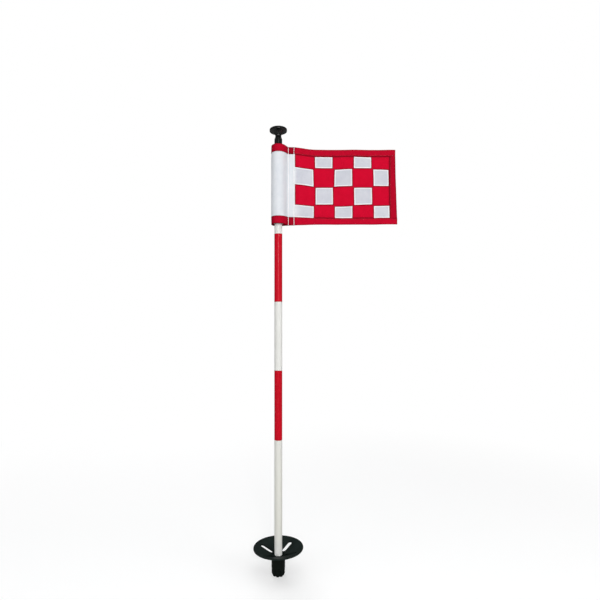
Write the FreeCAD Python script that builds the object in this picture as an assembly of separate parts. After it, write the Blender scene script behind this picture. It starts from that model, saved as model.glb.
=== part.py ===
import FreeCAD, Part
import math
import os

# Practice-green golf flagstick, 3 ft tall, standing on +Z. Millimetres.
# Origin: pole axis at the underside of the ferrule. The flag flies toward +X.
# Three take-down pole sections, a fluted ferrule with a dished ball-lifting disc, a
# checkered nylon flag sewn round a rotating tube, and a screw-on knob that keeps it on.

V = FreeCAD.Vector
UP = V(0, 0, 1)

# ---------------------------------------------------------------- shared dimensions
TOTAL_H = 914.4          # ferrule foot to top of knob (36 in)
POLE_R = 8.0             # outside radius of all three tubes
POLE_TOP_Z = 876.0
FERRULE_TOP_Z = 38.5
DISC_FLOOR_Z = 41.5      # top of the lift disc's hub
CLAMP_HOLE_R = 4.35      # screw hole through the disc and the pole's end plug
THREAD_TURNS = 10        # turns engaged in every screwed joint
SPIGOT_R = 5.0           # plain part of the knob stud, above the pole


# ---------------------------------------------------------------- helpers
def polygon_face(points):
    return Part.Face(Part.makePolygon(points + [points[0]]))


def revolved(outline):
    """Solid of revolution about Z from a closed (r, z) outline."""
    return polygon_face([V(r, 0, z) for r, z in outline]).revolve(V(0, 0, 0), UP, 360)


def ring(inner_r, outer_r, z0, z1):
    """Plain square-edged ring or tube on the axis."""
    return revolved([(inner_r, z0), (outer_r, z0), (outer_r, z1), (inner_r, z1)])


def write(name, *shapes):
    shape = shapes[0] if len(shapes) == 1 else Part.makeCompound(list(shapes))
    for solid in shape.Solids:
        assert solid.isValid() and solid.Volume > 0, name
    shape.exportStep("parts/%s.step" % name)


# ---------------------------------------------------------------- ferrule and its fixing
FERRULE_R = 13.9
FERRULE_BORE_R = 4.3
FERRULE_FOOT_R = 12.0
FERRULE_TAPER_Z = 3.6    # top of the tapered foot
FLUTED_R = 13.5          # slightly relieved, fluted lower part
PLAIN_Z = 15.8           # plain cylinder from here up
FLUTES = 8
FLUTE_R = 2.9
FLUTE_TOP_Z = 15.2
FLUTE_AXIS_R = FLUTED_R + 0.6
FLUTE_TURN_Z = FERRULE_TAPER_Z + 1.0    # the flutes bend to follow the taper here
FLUTE_START_ANGLE = 15.0
RECESS_R = 6.4           # screw head recess, open at the foot
RECESS_TOP_Z = 14.0
SCREW_R = 3.95
SCREW_TOP_Z = 64.0
SCREW_HEAD_R = 6.0
SCREW_HEAD_Z0 = 7.0
SCREW_HEAD_Z1 = 12.5     # the washer sits between here and the recess top
HEX_FLATS = 5.0          # socket across flats
HEX_TOP_Z = 10.2


def flute_cutter(angle):
    """Upright groove with a round top end, leaning inward down the tapered foot."""
    cos_a, sin_a = math.cos(angle), math.sin(angle)
    axis_x, axis_y = FLUTE_AXIS_R * cos_a, FLUTE_AXIS_R * sin_a
    end_z = FLUTE_TOP_Z - FLUTE_R
    bend = V(axis_x, axis_y, FLUTE_TURN_Z)
    straight = Part.makeCylinder(FLUTE_R, end_z - FLUTE_TURN_Z, bend, UP)
    round_end = Part.makeSphere(FLUTE_R, V(axis_x, axis_y, end_z))
    turn = Part.makeSphere(FLUTE_R, bend)
    slope = math.atan2(FLUTED_R - FERRULE_FOOT_R, FERRULE_TAPER_Z)
    downhill = V(-math.sin(slope) * cos_a, -math.sin(slope) * sin_a, -math.cos(slope))
    run_out = Part.makeCylinder(FLUTE_R, 13.0, bend, downhill)
    return straight.fuse([round_end, turn, run_out])


def ferrule():
    body = revolved([
        (FERRULE_BORE_R, RECESS_TOP_Z), (RECESS_R, RECESS_TOP_Z), (RECESS_R, 0.5),
        (RECESS_R + 0.5, 0.0), (FERRULE_FOOT_R - 0.8, 0.0), (FERRULE_FOOT_R, 0.8),
        (FLUTED_R - 0.5, FERRULE_TAPER_Z), (FLUTED_R, FERRULE_TAPER_Z + 1.2),
        (FLUTED_R, PLAIN_Z - 0.4), (FERRULE_R, PLAIN_Z), (FERRULE_R, FERRULE_TOP_Z - 0.6),
        (FERRULE_R - 0.6, FERRULE_TOP_Z), (FERRULE_BORE_R, FERRULE_TOP_Z),
    ])
    for k in range(FLUTES):
        body = body.cut(flute_cutter(math.radians(360.0 * k / FLUTES + FLUTE_START_ANGLE)))
    return body


def ferrule_plug():
    """Cup, open upward, that closes the recess."""
    return revolved([(0, 0), (6.0, 0), (6.3, 0.3), (6.3, 4.6), (5.9, 5.0), (4.4, 5.0),
                     (4.4, 1.6), (0, 1.6)])


def ferrule_screw():
    """Socket screw, head down, up through ferrule and disc into the pole."""
    head = revolved([(0, SCREW_HEAD_Z0), (SCREW_HEAD_R - 0.6, SCREW_HEAD_Z0),
                     (SCREW_HEAD_R, SCREW_HEAD_Z0 + 0.6), (SCREW_HEAD_R, SCREW_HEAD_Z1),
                     (0, SCREW_HEAD_Z1)])
    shank = revolved([(0, SCREW_HEAD_Z1), (SCREW_R, SCREW_HEAD_Z1),
                      (SCREW_R, SCREW_TOP_Z - 0.8), (SCREW_R - 0.8, SCREW_TOP_Z),
                      (0, SCREW_TOP_Z)])
    hex_z = SCREW_HEAD_Z0 - 1.0
    corner_r = HEX_FLATS / math.sqrt(3)
    corners = [V(corner_r * math.cos(math.radians(60 * k)),
                 corner_r * math.sin(math.radians(60 * k)), hex_z) for k in range(6)]
    hex_socket = polygon_face(corners).extrude(V(0, 0, HEX_TOP_Z - hex_z))
    return head.fuse(shank).cut(hex_socket).removeSplitter()


# ---------------------------------------------------------------- lift disc
DISC_R = 51.25
DISC_RIM_Z = 57.4
DISC_RIM_T = 2.4
SLOT_W = 10.0
SLOT_INNER_R = 13.5      # radial reach of the slots, over their round ends
SLOT_OUTER_R = 41.5
SLOT_ANGLES = (49.0, 152.0, 229.0, 332.0)


def lift_disc():
    """Dished plate: flat hub on the ferrule, straight cone up to a rounded rim, four slots."""
    rim_under_z = DISC_RIM_Z - DISC_RIM_T
    disc = revolved([
        (CLAMP_HOLE_R, FERRULE_TOP_Z), (12.6, FERRULE_TOP_Z), (13.6, 39.3), (44.0, 50.9),
        (DISC_R - 1.0, rim_under_z - 0.6), (DISC_R - 0.3, rim_under_z - 0.2),
        (DISC_R, rim_under_z + 0.5), (DISC_R, DISC_RIM_Z - 1.0),
        (DISC_R - 0.3, DISC_RIM_Z - 0.25), (DISC_R - 0.8, DISC_RIM_Z),
        (DISC_R - 1.5, DISC_RIM_Z - 0.4), (9.0, DISC_FLOOR_Z), (CLAMP_HOLE_R, DISC_FLOOR_Z),
    ])
    half_w = SLOT_W / 2
    r0, r1 = SLOT_INNER_R + half_w, SLOT_OUTER_R - half_w
    cut_z, cut_h = 30, 40    # passes right through the dish
    for angle in SLOT_ANGLES:
        bar = Part.makeBox(r1 - r0, SLOT_W, cut_h, V(r0, -half_w, cut_z))
        slot = bar.fuse([Part.makeCylinder(half_w, cut_h, V(r, 0, cut_z)) for r in (r0, r1)])
        slot.rotate(V(0, 0, 0), UP, angle)
        disc = disc.cut(slot)
    return disc


# ---------------------------------------------------------------- pole sections and joints
POLE_BORE_R = 6.8
POLE_CHAMFER = 0.25
POLE_BOTTOM_Z = DISC_FLOOR_Z + 2.5    # the lowest tube stands on the end plug's flange
JOINT1_Z = 276.0         # middle of the washer between lower and middle section
JOINT2_Z = 559.2         # middle of the washer between middle and upper section
JOINT_GAP = 0.6          # joint washer thickness
BAND_T = 0.15            # film thickness of the red bands
LOWER_BAND_TOP_Z = 419.2
UPPER_BAND_TOP_Z = 698.9

PLUG_R = 6.75
PLUG_BORE_R = 5.2
PLUG_TOP_Z = 71.6
PLUG_SEAT_Z = 47.0       # the threaded insert stands here
PLUG_INSERT_LEN = 20.0

# section joints, M10 x 1.5
STUD_R = 4.95
SOCKET_R = 5.0
STUD_LEN = THREAD_TURNS * 1.5
SOCKET_DEPTH = 20.0
INSERT_R = 6.78          # stud heads and sockets, pressed into the tube bore
INSERT_LEN = 24.0


def pole_tube(z0, z1):
    """Pole tube with small outside chamfers at both ends."""
    c = POLE_CHAMFER
    return revolved([(POLE_BORE_R, z0), (POLE_R - c, z0), (POLE_R, z0 + c),
                     (POLE_R, z1 - c), (POLE_R - c, z1), (POLE_BORE_R, z1)])


def pole_end_plug():
    return revolved([
        (CLAMP_HOLE_R, DISC_FLOOR_Z), (POLE_R, DISC_FLOOR_Z), (POLE_R, POLE_BOTTOM_Z),
        (PLUG_R, POLE_BOTTOM_Z), (PLUG_R, PLUG_TOP_Z - 0.6), (PLUG_R - 0.5, PLUG_TOP_Z),
        (PLUG_BORE_R, PLUG_TOP_Z), (PLUG_BORE_R, PLUG_SEAT_Z), (CLAMP_HOLE_R, PLUG_SEAT_Z),
    ])


def threaded_socket(mouth_z, bore_r, depth, length):
    """Pressed-in threaded insert, its mouth at mouth_z, blind at the bottom."""
    foot_z = mouth_z - length
    return revolved([
        (0, foot_z), (INSERT_R - 0.4, foot_z), (INSERT_R, foot_z + 0.4), (INSERT_R, mouth_z),
        (bore_r + 0.4, mouth_z), (bore_r, mouth_z - 0.4), (bore_r, mouth_z - depth),
        (0, mouth_z - depth),
    ])


def joint_stud(face_z):
    """Turned stud: a head pressed into the tube above face_z, a threaded shank below it."""
    tip_z = face_z - STUD_LEN - JOINT_GAP
    head_z = face_z + INSERT_LEN
    return revolved([
        (0, tip_z), (STUD_R - 0.8, tip_z), (STUD_R, tip_z + 0.8), (STUD_R, face_z),
        (INSERT_R, face_z), (INSERT_R, head_z - 0.4), (INSERT_R - 0.4, head_z), (0, head_z),
    ])


def write_joint(name, joint_z, band_top_z):
    """Socket, washer and stud of one joint, and the red band on the tube above it."""
    z0, z1 = joint_z - JOINT_GAP / 2, joint_z + JOINT_GAP / 2
    write(name + "_joint_socket", threaded_socket(z0, SOCKET_R, SOCKET_DEPTH, INSERT_LEN))
    write(name + "_joint_washer", ring(5.3, 7.9, z0, z1))
    write(name + "_joint_stud", joint_stud(z1))
    write("red_band_" + name, ring(POLE_R, POLE_R + BAND_T, joint_z + 0.6, band_top_z))


# ---------------------------------------------------------------- knob
KNOB_BOTTOM_Z = 879.2
KNOB_COLLAR_R = 8.0
KNOB_NECK_R = 6.15
KNOB_RIM_R = 17.9
KNOB_HOLE_R = SPIGOT_R + 0.02
KNOB_HOLE_TOP_Z = 891.2
KNOB_WASHER_T = 0.8

# knob stud, M8 x 1.25
KNOB_STUD_R = 3.95
KNOB_SOCKET_R = 4.0
KNOB_STUD_LEN = THREAD_TURNS * 1.25
SPIGOT_TOP_Z = KNOB_HOLE_TOP_Z - 0.1


def top_knob():
    """Mushroom head: straight collar, waisted neck, concave flare to a rounded rim."""
    return revolved([
        (KNOB_HOLE_R, KNOB_BOTTOM_Z), (KNOB_COLLAR_R - 0.4, KNOB_BOTTOM_Z),
        (KNOB_COLLAR_R, KNOB_BOTTOM_Z + 0.4), (KNOB_COLLAR_R, 892.6),
        (7.85, 893.6), (7.45, 894.8), (6.9, 896.2), (6.45, 897.6), (6.2, 898.8),
        (KNOB_NECK_R, 899.6), (6.25, 900.8), (6.6, 902.2), (7.3, 903.6), (8.4, 905.0),
        (9.9, 906.3), (11.8, 907.4), (13.9, 908.3), (15.9, 908.9), (17.1, 909.3),
        (17.7, 909.8), (KNOB_RIM_R, 910.6), (KNOB_RIM_R, 912.9), (17.7, 913.5),
        (17.2, 913.9), (16.4, 914.1), (12.0, 914.25), (6.0, 914.35), (0, TOTAL_H),
        (0, KNOB_HOLE_TOP_Z), (KNOB_HOLE_R, KNOB_HOLE_TOP_Z),
    ])


def knob_stud():
    """Threaded shank down into the pole, plain spigot up into the knob."""
    tip_z = POLE_TOP_Z - KNOB_STUD_LEN
    return revolved([
        (0, tip_z), (KNOB_STUD_R - 0.7, tip_z), (KNOB_STUD_R, tip_z + 0.7),
        (KNOB_STUD_R, POLE_TOP_Z), (SPIGOT_R, POLE_TOP_Z), (SPIGOT_R, SPIGOT_TOP_Z - 0.5),
        (SPIGOT_R - 0.5, SPIGOT_TOP_Z), (0, SPIGOT_TOP_Z),
    ])


# ---------------------------------------------------------------- flag tube and sleeve
TUBE_R = 13.2
TUBE_BORE_R = 12.0
TUBE_Z0 = 722.5
TUBE_Z1 = POLE_TOP_Z + 0.15
CAP_T = 2.0
BUSH_Z0 = 727.0
BUSH_LEN = 8.0
SLEEVE_INNER_R = 13.25
SLEEVE_R = 14.4
SLEEVE_HEM_R = 14.75
SLEEVE_Z0 = 718.3
SLEEVE_Z1 = 879.8
SLEEVE_HEM_BOT = 733.8   # top of the bottom hem
SLEEVE_HEM_TOP = 864.0   # bottom of the top hem
SEAM_X = 19.0            # where the sleeve is drawn together
SEAM_Y = 8.5
SEAM_R = 0.55            # rounding of the sleeve at the seam


def teardrop(round_r, tip_x, tip_y, tip_r, z0, z1):
    """Upright solid: an outline pulled tight round the axis and a small circle at the tip."""
    base = math.atan2(tip_y, tip_x)
    spread = math.acos((round_r - tip_r) / math.hypot(tip_x, tip_y))

    def on_circle(x, y, r, angle):
        return V(x + r * math.cos(angle), y + r * math.sin(angle), z0)

    sides = (base + spread, base - spread)
    body = [on_circle(0, 0, round_r, angle) for angle in sides]
    tip = [on_circle(tip_x, tip_y, tip_r, angle) for angle in sides]
    edges = [
        Part.Arc(body[0], on_circle(0, 0, -round_r, base), body[1]).toShape(),
        Part.LineSegment(body[1], tip[1]).toShape(),
        Part.Arc(tip[1], on_circle(tip_x, tip_y, tip_r, base), tip[0]).toShape(),
        Part.LineSegment(tip[0], body[0]).toShape(),
    ]
    return Part.Face(Part.Wire(edges)).extrude(V(0, 0, z1 - z0))


def flag_sleeve():
    """Cloth wrapped round the tube and drawn together at the seam."""
    z0, z1 = SLEEVE_Z0 + 0.5, SLEEVE_Z1 - 0.5
    outside = teardrop(SLEEVE_R, SEAM_X, SEAM_Y, SEAM_R, z0, z1)
    return outside.cut(
        teardrop(SLEEVE_INNER_R, SEAM_X - 2.0, SEAM_Y - 0.2, 0.05, z0 - 1, z1 + 1))


def sleeve_hem(z0, z1):
    """Extra cloth layer round the outside of the sleeve."""
    outside = teardrop(SLEEVE_HEM_R, SEAM_X, SEAM_Y, SEAM_R + 0.35, z0, z1)
    return outside.cut(teardrop(SLEEVE_R, SEAM_X, SEAM_Y, SEAM_R, z0 - 1, z1 + 1))


# ---------------------------------------------------------------- flag panel
PANEL_X0 = 22.4          # hoist end of the panel
PANEL_X1 = 250.0         # layers run to here, past the fly edge
CUT_Z0, CUT_Z1 = 705, 895    # layers are drawn this tall, then trimmed
CHECK_X0 = 34.3          # white hoist strip ends, checks start
FLY_HEM_X = 231.5        # the fly hem starts here
FLY_TOP = 242.6          # x of the fly edge's top and bottom corners
FLY_BOT = 247.2

GROUND_T = 0.40          # ground cloth
FACE_Y = GROUND_T / 2    # its faces, off the middle surface
PATCH_T = 0.25           # each white patch
STRIP_T = 0.35           # each layer of the white hoist strip
HEM_T = 0.30             # each folded hem layer

STITCH_X = (23.6, 32.6)  # the two rows through the hoist strip
STITCH_W = 1.0
STITCH_T = 0.35
STITCH_GAP = 0.01        # between thread and strip
STITCH_Z0, STITCH_Z1 = 719.6, 879.9

# top and bottom edges of the panel, (x, z), hoist to fly
EDGE_TOP = (
    (PANEL_X0, 881.2), (35.0, 880.8), (45.0, 880.1), (55.0, 879.1), (66.0, 877.8),
    (75.0, 877.0), (85.0, 876.6), (115.0, 876.2), (160.0, 875.8), (200.0, 875.4),
    (FLY_TOP, 875.0),
)
EDGE_BOT = (
    (PANEL_X0, 718.4), (35.0, 719.0), (45.0, 719.6), (75.0, 720.4), (130.0, 720.9),
    (200.0, 721.1), (FLY_BOT, 722.2),
)

# inner edges of the top and bottom hems, (x, z), hoist to fly
HEM_LINE_TOP = (
    (PANEL_X0, 866.4), (36.5, 866.5), (45.0, 865.9), (77.0, 862.6), (120.0, 862.3),
    (FLY_TOP, 862.3),
)
HEM_LINE_BOT = (
    (PANEL_X0, 736.2), (37.0, 736.1), (45.0, 735.7), (66.0, 734.4), (120.0, 734.0),
    (FLY_BOT, 733.9),
)

# white squares: (x, z) corners, top-hoist, top-fly, bottom-fly, bottom-hoist
SQUARES = (
    ((76.2, 861.2), (112.4, 861.1), (112.4, 838.6), (76.6, 838.9)),
    ((156.8, 860.7), (192.6, 860.5), (192.6, 837.7), (156.8, 837.7)),
    ((CHECK_X0, 839.7), (72.1, 834.9), (73.3, 799.9), (CHECK_X0, 804.7)),
    ((117.4, 834.9), (152.7, 835.5), (153.3, 801.3), (116.5, 800.2)),
    ((197.2, 835.0), (228.5, 834.4), (229.4, 801.6), (197.8, 800.6)),
    ((77.7, 797.4), (113.2, 797.7), (113.4, 763.0), (77.5, 762.5)),
    ((157.4, 796.8), (193.8, 796.5), (194.3, 762.1), (157.9, 761.6)),
    ((CHECK_X0, 761.8), (73.5, 758.5), (73.5, 734.6), (CHECK_X0, 736.4)),
    ((117.8, 758.2), (153.7, 759.1), (153.7, 734.5), (117.8, 734.9)),
    ((198.2, 758.9), (230.2, 759.7), (230.8, 734.8), (198.6, 734.3)),
)

# plan shape of the panel: (x, y) of its middle surface, hoist to fly
PLAN = (
    (PANEL_X0, 8.5), (40.0, 9.2), (60.0, 10.2), (80.0, 10.9), (100.0, 11.2),
    (120.0, 11.0), (140.0, 10.4), (160.0, 9.6), (180.0, 9.1), (200.0, 9.2),
    (220.0, 9.9), (235.0, 10.5), (252.0, 11.0),
)


def plan_y(x):
    """y of the panel's middle surface at x."""
    for (xa, ya), (xb, yb) in zip(PLAN, PLAN[1:]):
        if x <= xb:
            return ya + (yb - ya) * (x - xa) / (xb - xa)
    return PLAN[-1][1]


def layer(x0, x1, y0, y1, z0=CUT_Z0, z1=CUT_Z1):
    """Panel layer between x0 and x1, from y0 to y1 off the middle surface."""
    stations = [x0] + [x for x, _ in PLAN if x0 + 0.5 < x < x1 - 0.5] + [x1]
    outline = [V(x, plan_y(x) + y0, z0) for x in stations]
    outline += [V(x, plan_y(x) + y1, z0) for x in reversed(stations)]
    return polygon_face(outline).extrude(V(0, 0, z1 - z0))


def on_both_faces(x0, x1, thickness, cutter):
    """Solids of a layer laid on each face of the ground cloth, trimmed by cutter."""
    solids = []
    for side in (-1, 1):
        sheet = layer(x0, x1, side * FACE_Y, side * (FACE_Y + thickness))
        solids += sheet.common(cutter).Solids
    return solids


def prism_xz(points):
    """Solid cutter: an (x, z) outline, 60 mm deep in y."""
    return polygon_face([V(x, -20, z) for x, z in points]).extrude(V(0, 60, 0))


def hem_cutter(outline, hem_line, outer_z):
    """The part of the panel between a hem line and its edge."""
    far_x = FLY_BOT + 5
    corners = [(far_x, hem_line[-1][1]), (far_x, outer_z), (PANEL_X0, outer_z)]
    return outline.common(prism_xz(list(hem_line) + corners))


def flag_squares():
    """White squares, sewn to both faces."""
    patches = []
    for corners in SQUARES:
        xs = [x for x, _ in corners]
        patches += on_both_faces(min(xs), max(xs), PATCH_T, prism_xz(corners))
    return patches


def hoist_stitches():
    """Two rows of thread through the hoist strip, on both faces."""
    y0 = FACE_Y + STRIP_T + STITCH_GAP
    return [layer(x - STITCH_W / 2, x + STITCH_W / 2, side * y0, side * (y0 + STITCH_T),
                  STITCH_Z0, STITCH_Z1)
            for x in STITCH_X for side in (-1, 1)]


def write_panel():
    outline = prism_xz(list(EDGE_TOP) + list(reversed(EDGE_BOT)))
    # stops 0.05 short of both hems
    between = prism_xz([(x, z - 0.05) for x, z in HEM_LINE_TOP]
                       + [(x, z + 0.05) for x, z in reversed(HEM_LINE_BOT)])

    # red ground cloth, from inside the hoist strip to the fly edge
    ground = layer(PANEL_X0, PANEL_X1, -FACE_Y, FACE_Y).common(outline)
    write("flag_ground", *ground.Solids)
    # white hoist strip: the sleeve's two tails, one on each face
    write("flag_hoist_strip", *on_both_faces(PANEL_X0, CHECK_X0 - 0.05, STRIP_T, between))
    write("flag_squares", *flag_squares())

    # folded hems on both faces
    fly_box = Part.makeBox(60, 100, 200, V(FLY_HEM_X, -30, 700))
    hems = {
        "top": hem_cutter(outline, HEM_LINE_TOP, 900),
        "bottom": hem_cutter(outline, HEM_LINE_BOT, 700),
        "fly": outline.common(between).common(fly_box),
    }
    for name, cutter in hems.items():
        write("flag_hem_" + name, *on_both_faces(PANEL_X0, PANEL_X1, HEM_T, cutter))
    write("hoist_stitches", *hoist_stitches())


# ---------------------------------------------------------------- build, foot to top
os.makedirs("parts", exist_ok=True)

write("ferrule", ferrule())
write("ferrule_plug", ferrule_plug())
write("ferrule_screw", ferrule_screw())
write("ferrule_washer", ring(4.2, 6.3, SCREW_HEAD_Z1, RECESS_TOP_Z))
write("lift_disc", lift_disc())

write("pole_end_plug", pole_end_plug())
write("plug_insert", ring(4.0, PLUG_BORE_R - 0.05, PLUG_SEAT_Z, PLUG_SEAT_Z + PLUG_INSERT_LEN))
write("lower_pole", pole_tube(POLE_BOTTOM_Z, JOINT1_Z - JOINT_GAP / 2))
write("middle_pole", pole_tube(JOINT1_Z + JOINT_GAP / 2, JOINT2_Z - JOINT_GAP / 2))
write("upper_pole", pole_tube(JOINT2_Z + JOINT_GAP / 2, POLE_TOP_Z))
write_joint("lower", JOINT1_Z, LOWER_BAND_TOP_Z)
write_joint("upper", JOINT2_Z, UPPER_BAND_TOP_Z)
write("pole_top_insert", threaded_socket(POLE_TOP_Z, KNOB_SOCKET_R, 17.0, 20.0))

write("top_knob", top_knob())
write("knob_stud", knob_stud())
write("knob_washer", ring(SPIGOT_R + 0.06, 7.7, KNOB_BOTTOM_Z - KNOB_WASHER_T, KNOB_BOTTOM_Z))

write("flag_tube", ring(TUBE_BORE_R, TUBE_R, TUBE_Z0, TUBE_Z1))
write("tube_cap", ring(SPIGOT_R + 0.08, TUBE_R, TUBE_Z1, TUBE_Z1 + CAP_T))
write("tube_bush", ring(POLE_R + 0.08, TUBE_BORE_R - 0.02, BUSH_Z0, BUSH_Z0 + BUSH_LEN))
write("flag_sleeve", flag_sleeve())
write("sleeve_hem_top", *sleeve_hem(SLEEVE_HEM_TOP, SLEEVE_Z1).Solids)
write("sleeve_hem_bottom", *sleeve_hem(SLEEVE_Z0, SLEEVE_HEM_BOT).Solids)
write_panel()
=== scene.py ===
"""A small practice flagstick: a chequered red and white flag on a three-part pole.

The pole stands on the origin along +Z. The flag hangs toward +X on a sleeve round its tube, its
front facing -Y, where the camera is. Shapes are worked in millimetres, the scene is in metres.
"""

import math

import bmesh
import bpy
import numpy as np
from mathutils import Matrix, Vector


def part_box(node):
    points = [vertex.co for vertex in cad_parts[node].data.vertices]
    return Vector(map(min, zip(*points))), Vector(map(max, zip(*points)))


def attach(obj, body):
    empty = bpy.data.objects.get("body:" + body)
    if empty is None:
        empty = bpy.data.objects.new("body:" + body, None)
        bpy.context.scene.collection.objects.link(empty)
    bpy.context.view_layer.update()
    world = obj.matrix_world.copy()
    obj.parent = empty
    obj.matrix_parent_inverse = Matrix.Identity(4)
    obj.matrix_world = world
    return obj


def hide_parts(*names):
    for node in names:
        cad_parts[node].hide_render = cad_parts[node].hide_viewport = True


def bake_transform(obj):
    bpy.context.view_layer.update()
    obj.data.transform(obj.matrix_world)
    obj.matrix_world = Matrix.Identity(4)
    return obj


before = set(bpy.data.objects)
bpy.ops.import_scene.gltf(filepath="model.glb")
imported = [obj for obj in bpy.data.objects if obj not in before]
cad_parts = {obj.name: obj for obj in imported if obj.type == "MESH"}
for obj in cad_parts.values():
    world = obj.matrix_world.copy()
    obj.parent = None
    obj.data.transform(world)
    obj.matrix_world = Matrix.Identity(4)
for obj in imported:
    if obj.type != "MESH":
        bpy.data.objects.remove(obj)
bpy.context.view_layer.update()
scene = bpy.context.scene
MM = 0.001      # one millimetre in metres
TURN = 2 * math.pi


def box_mm(node):
    low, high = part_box(node)
    return np.array(low) / MM, np.array(high) / MM


RIM_BOTTOM, LOOP_BOTTOM = [corner[2] for corner in box_mm("sleeve_hem_bottom")]
LOOP_TOP, RIM_TOP = [corner[2] for corner in box_mm("sleeve_hem_top")]
FLY_MAX = box_mm("flag_ground")[1][0]
GROUND_HALF = 0.20       # half the ground cloth's thickness
STRIP_THICK = 0.36
HEM_THICK = 0.32
PATCH_THICK = 0.22
SLEEVE_RADIUS = 14.2     # mid surface of the sleeve cloth round its tube
SEAM_X = 19.3            # where the sleeve closes on the panel
GROUND_X = 19.4          # hoist edge of the ground cloth
STRIP_X = 34.3           # fly edge of the white hoist strip
FLY_HEM_X = 231.5        # inner line of the fly hem
GROUND_INSET = 1.2       # ground cloth stops short of the top and bottom folds
HEM_SEAM = 1.8           # stitching inside the hem line
SQUARE_SEAM = 1.5        # stitching inside a square's outline
ZIGZAG_ROWS = ((20.7, 0.80), (32.4, 0.74))      # (x, half width)
ZIGZAG_STEP = 0.56

# White squares, (x, z) of each corner: hoist-top, fly-top, fly-bottom, hoist-bottom.
SQUARES = (
    ((76.2, 861.2), (112.4, 861.1), (112.4, 838.6), (76.6, 838.9)),
    ((156.8, 860.7), (192.6, 860.5), (192.6, 837.7), (156.8, 837.7)),
    ((STRIP_X, 839.7), (72.1, 834.9), (73.3, 799.9), (STRIP_X, 804.7)),
    ((117.4, 834.9), (152.7, 835.5), (153.3, 801.3), (116.5, 800.2)),
    ((197.2, 835.0), (228.5, 834.4), (229.4, 801.6), (197.8, 800.6)),
    ((77.7, 797.4), (113.2, 797.7), (113.4, 763.0), (77.5, 762.5)),
    ((157.4, 796.8), (193.8, 796.5), (194.3, 762.1), (157.9, 761.6)),
    ((STRIP_X, 761.8), (73.5, 758.5), (73.5, 734.6), (STRIP_X, 736.4)),
    ((117.8, 758.2), (153.7, 759.1), (153.7, 734.5), (117.8, 734.9)),
    ((198.2, 758.9), (230.2, 759.7), (230.8, 734.8), (198.6, 734.3)),
)

# The panel seen from above, (x, y).
PLAN = (
    (10.0, 8.4), (22.4, 8.5), (40.0, 9.2), (60.0, 10.2), (80.0, 10.9), (100.0, 11.2), (120.0, 11.0),
    (140.0, 10.4), (160.0, 9.6), (180.0, 9.1), (200.0, 9.2), (220.0, 9.9), (235.0, 10.5),
    (265.0, 11.2),
)
# Folded edges and inner hem lines of the panel, (x, z).
TOP_EDGE = (
    (19.0, 881.2), (26.0, 881.1), (35.0, 880.8), (45.0, 880.1), (55.0, 879.1), (66.0, 877.8),
    (75.0, 877.0), (85.0, 876.6), (115.0, 876.2), (160.0, 875.9), (200.0, 876.0), (242.6, 876.0),
)
BOTTOM_EDGE = (
    (19.0, 718.4), (26.0, 718.5), (35.0, 719.0), (45.0, 719.6), (75.0, 720.4), (130.0, 720.9),
    (200.0, 720.4), (247.2, 721.3),
)
HEM_TOP = (
    (19.0, 866.3), (36.5, 866.5), (45.0, 865.9), (77.0, 862.6), (120.0, 862.3), (248.0, 862.3),
)
HEM_BOTTOM = (
    (19.0, 736.1), (37.0, 736.1), (45.0, 735.7), (66.0, 734.4), (120.0, 734.0), (248.0, 733.9),
)
# Slanted fly edge: z of its ends, and x there.
FLY_EDGE_Z, FLY_EDGE_X = (722.2, 875.0), (247.2, 242.6)

# Waves of the panel: height, length along x, length along z, phase, how much z ends flatten it.
PANEL_WAVES = ((0.95, 128.0, 240.0, 0.4, 0.0), (0.55, 71.0, -150.0, 2.1, 0.0),
               (0.30, 37.0, 61.0, 1.0, 0.5))
# Creases of the sleeve: height, count round the tube, rise in z per radian, phase.
SLEEVE_WAVES = ((0.16, 3, 33.0, 0.0), (0.12, 5, -21.0, 1.2), (0.10, 2, 12.0, 0.0))


# ------------------------------------------------------------------ curves
def soften(values, sigma, **padding):
    """Gaussian blur of evenly spaced values."""
    reach = round(3 * sigma)
    weights = np.exp(-0.5 * (np.arange(-reach, reach + 1) / sigma) ** 2)
    return np.convolve(np.pad(values, reach, **padding), weights / weights.sum(), mode="valid")


def curve(points, start=-20.0, sigma=3.0):
    """Softened polyline through (x, value) points, as a function of x."""
    stations = np.arange(start, 275.0, 1.0)
    values = soften(np.interp(stations, *zip(*points)), sigma, mode="edge")
    return lambda x: np.interp(x, stations, values)


plan_y = curve(PLAN, start=0.0, sigma=6.0)
top_edge, bottom_edge = curve(TOP_EDGE), curve(BOTTOM_EDGE)
hem_top, hem_bottom = curve(HEM_TOP), curve(HEM_BOTTOM)


def fly_x(z):
    return np.interp(z, FLY_EDGE_Z, FLY_EDGE_X)


def smooth(start, end, x):
    """Smooth step from 0 at start to 1 at end."""
    share = np.clip((np.asarray(x, float) - start) / (end - start), 0, 1)
    return share * share * (3 - 2 * share)


def bell(distance, width):
    return np.exp(-(distance / width) ** 2)


def decay(distance, length):
    """1 up to distance 0, then dying away."""
    return np.exp(-np.clip(distance, 0, None) / length)


def ripple(turns, phase=0.0):
    return np.sin(2 * np.pi * turns + phase)


def spaced(start, end, step):
    return np.linspace(start, end, max(2, int(round((end - start) / step)) + 1))


def run_along(points):
    """Distance covered at each point of a polyline."""
    steps = np.linalg.norm(np.diff(points, axis=0), axis=1)
    return np.concatenate([[0], np.cumsum(steps)])


def pair(first, second):
    return np.stack(np.broadcast_arrays(first, second), -1)


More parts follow.
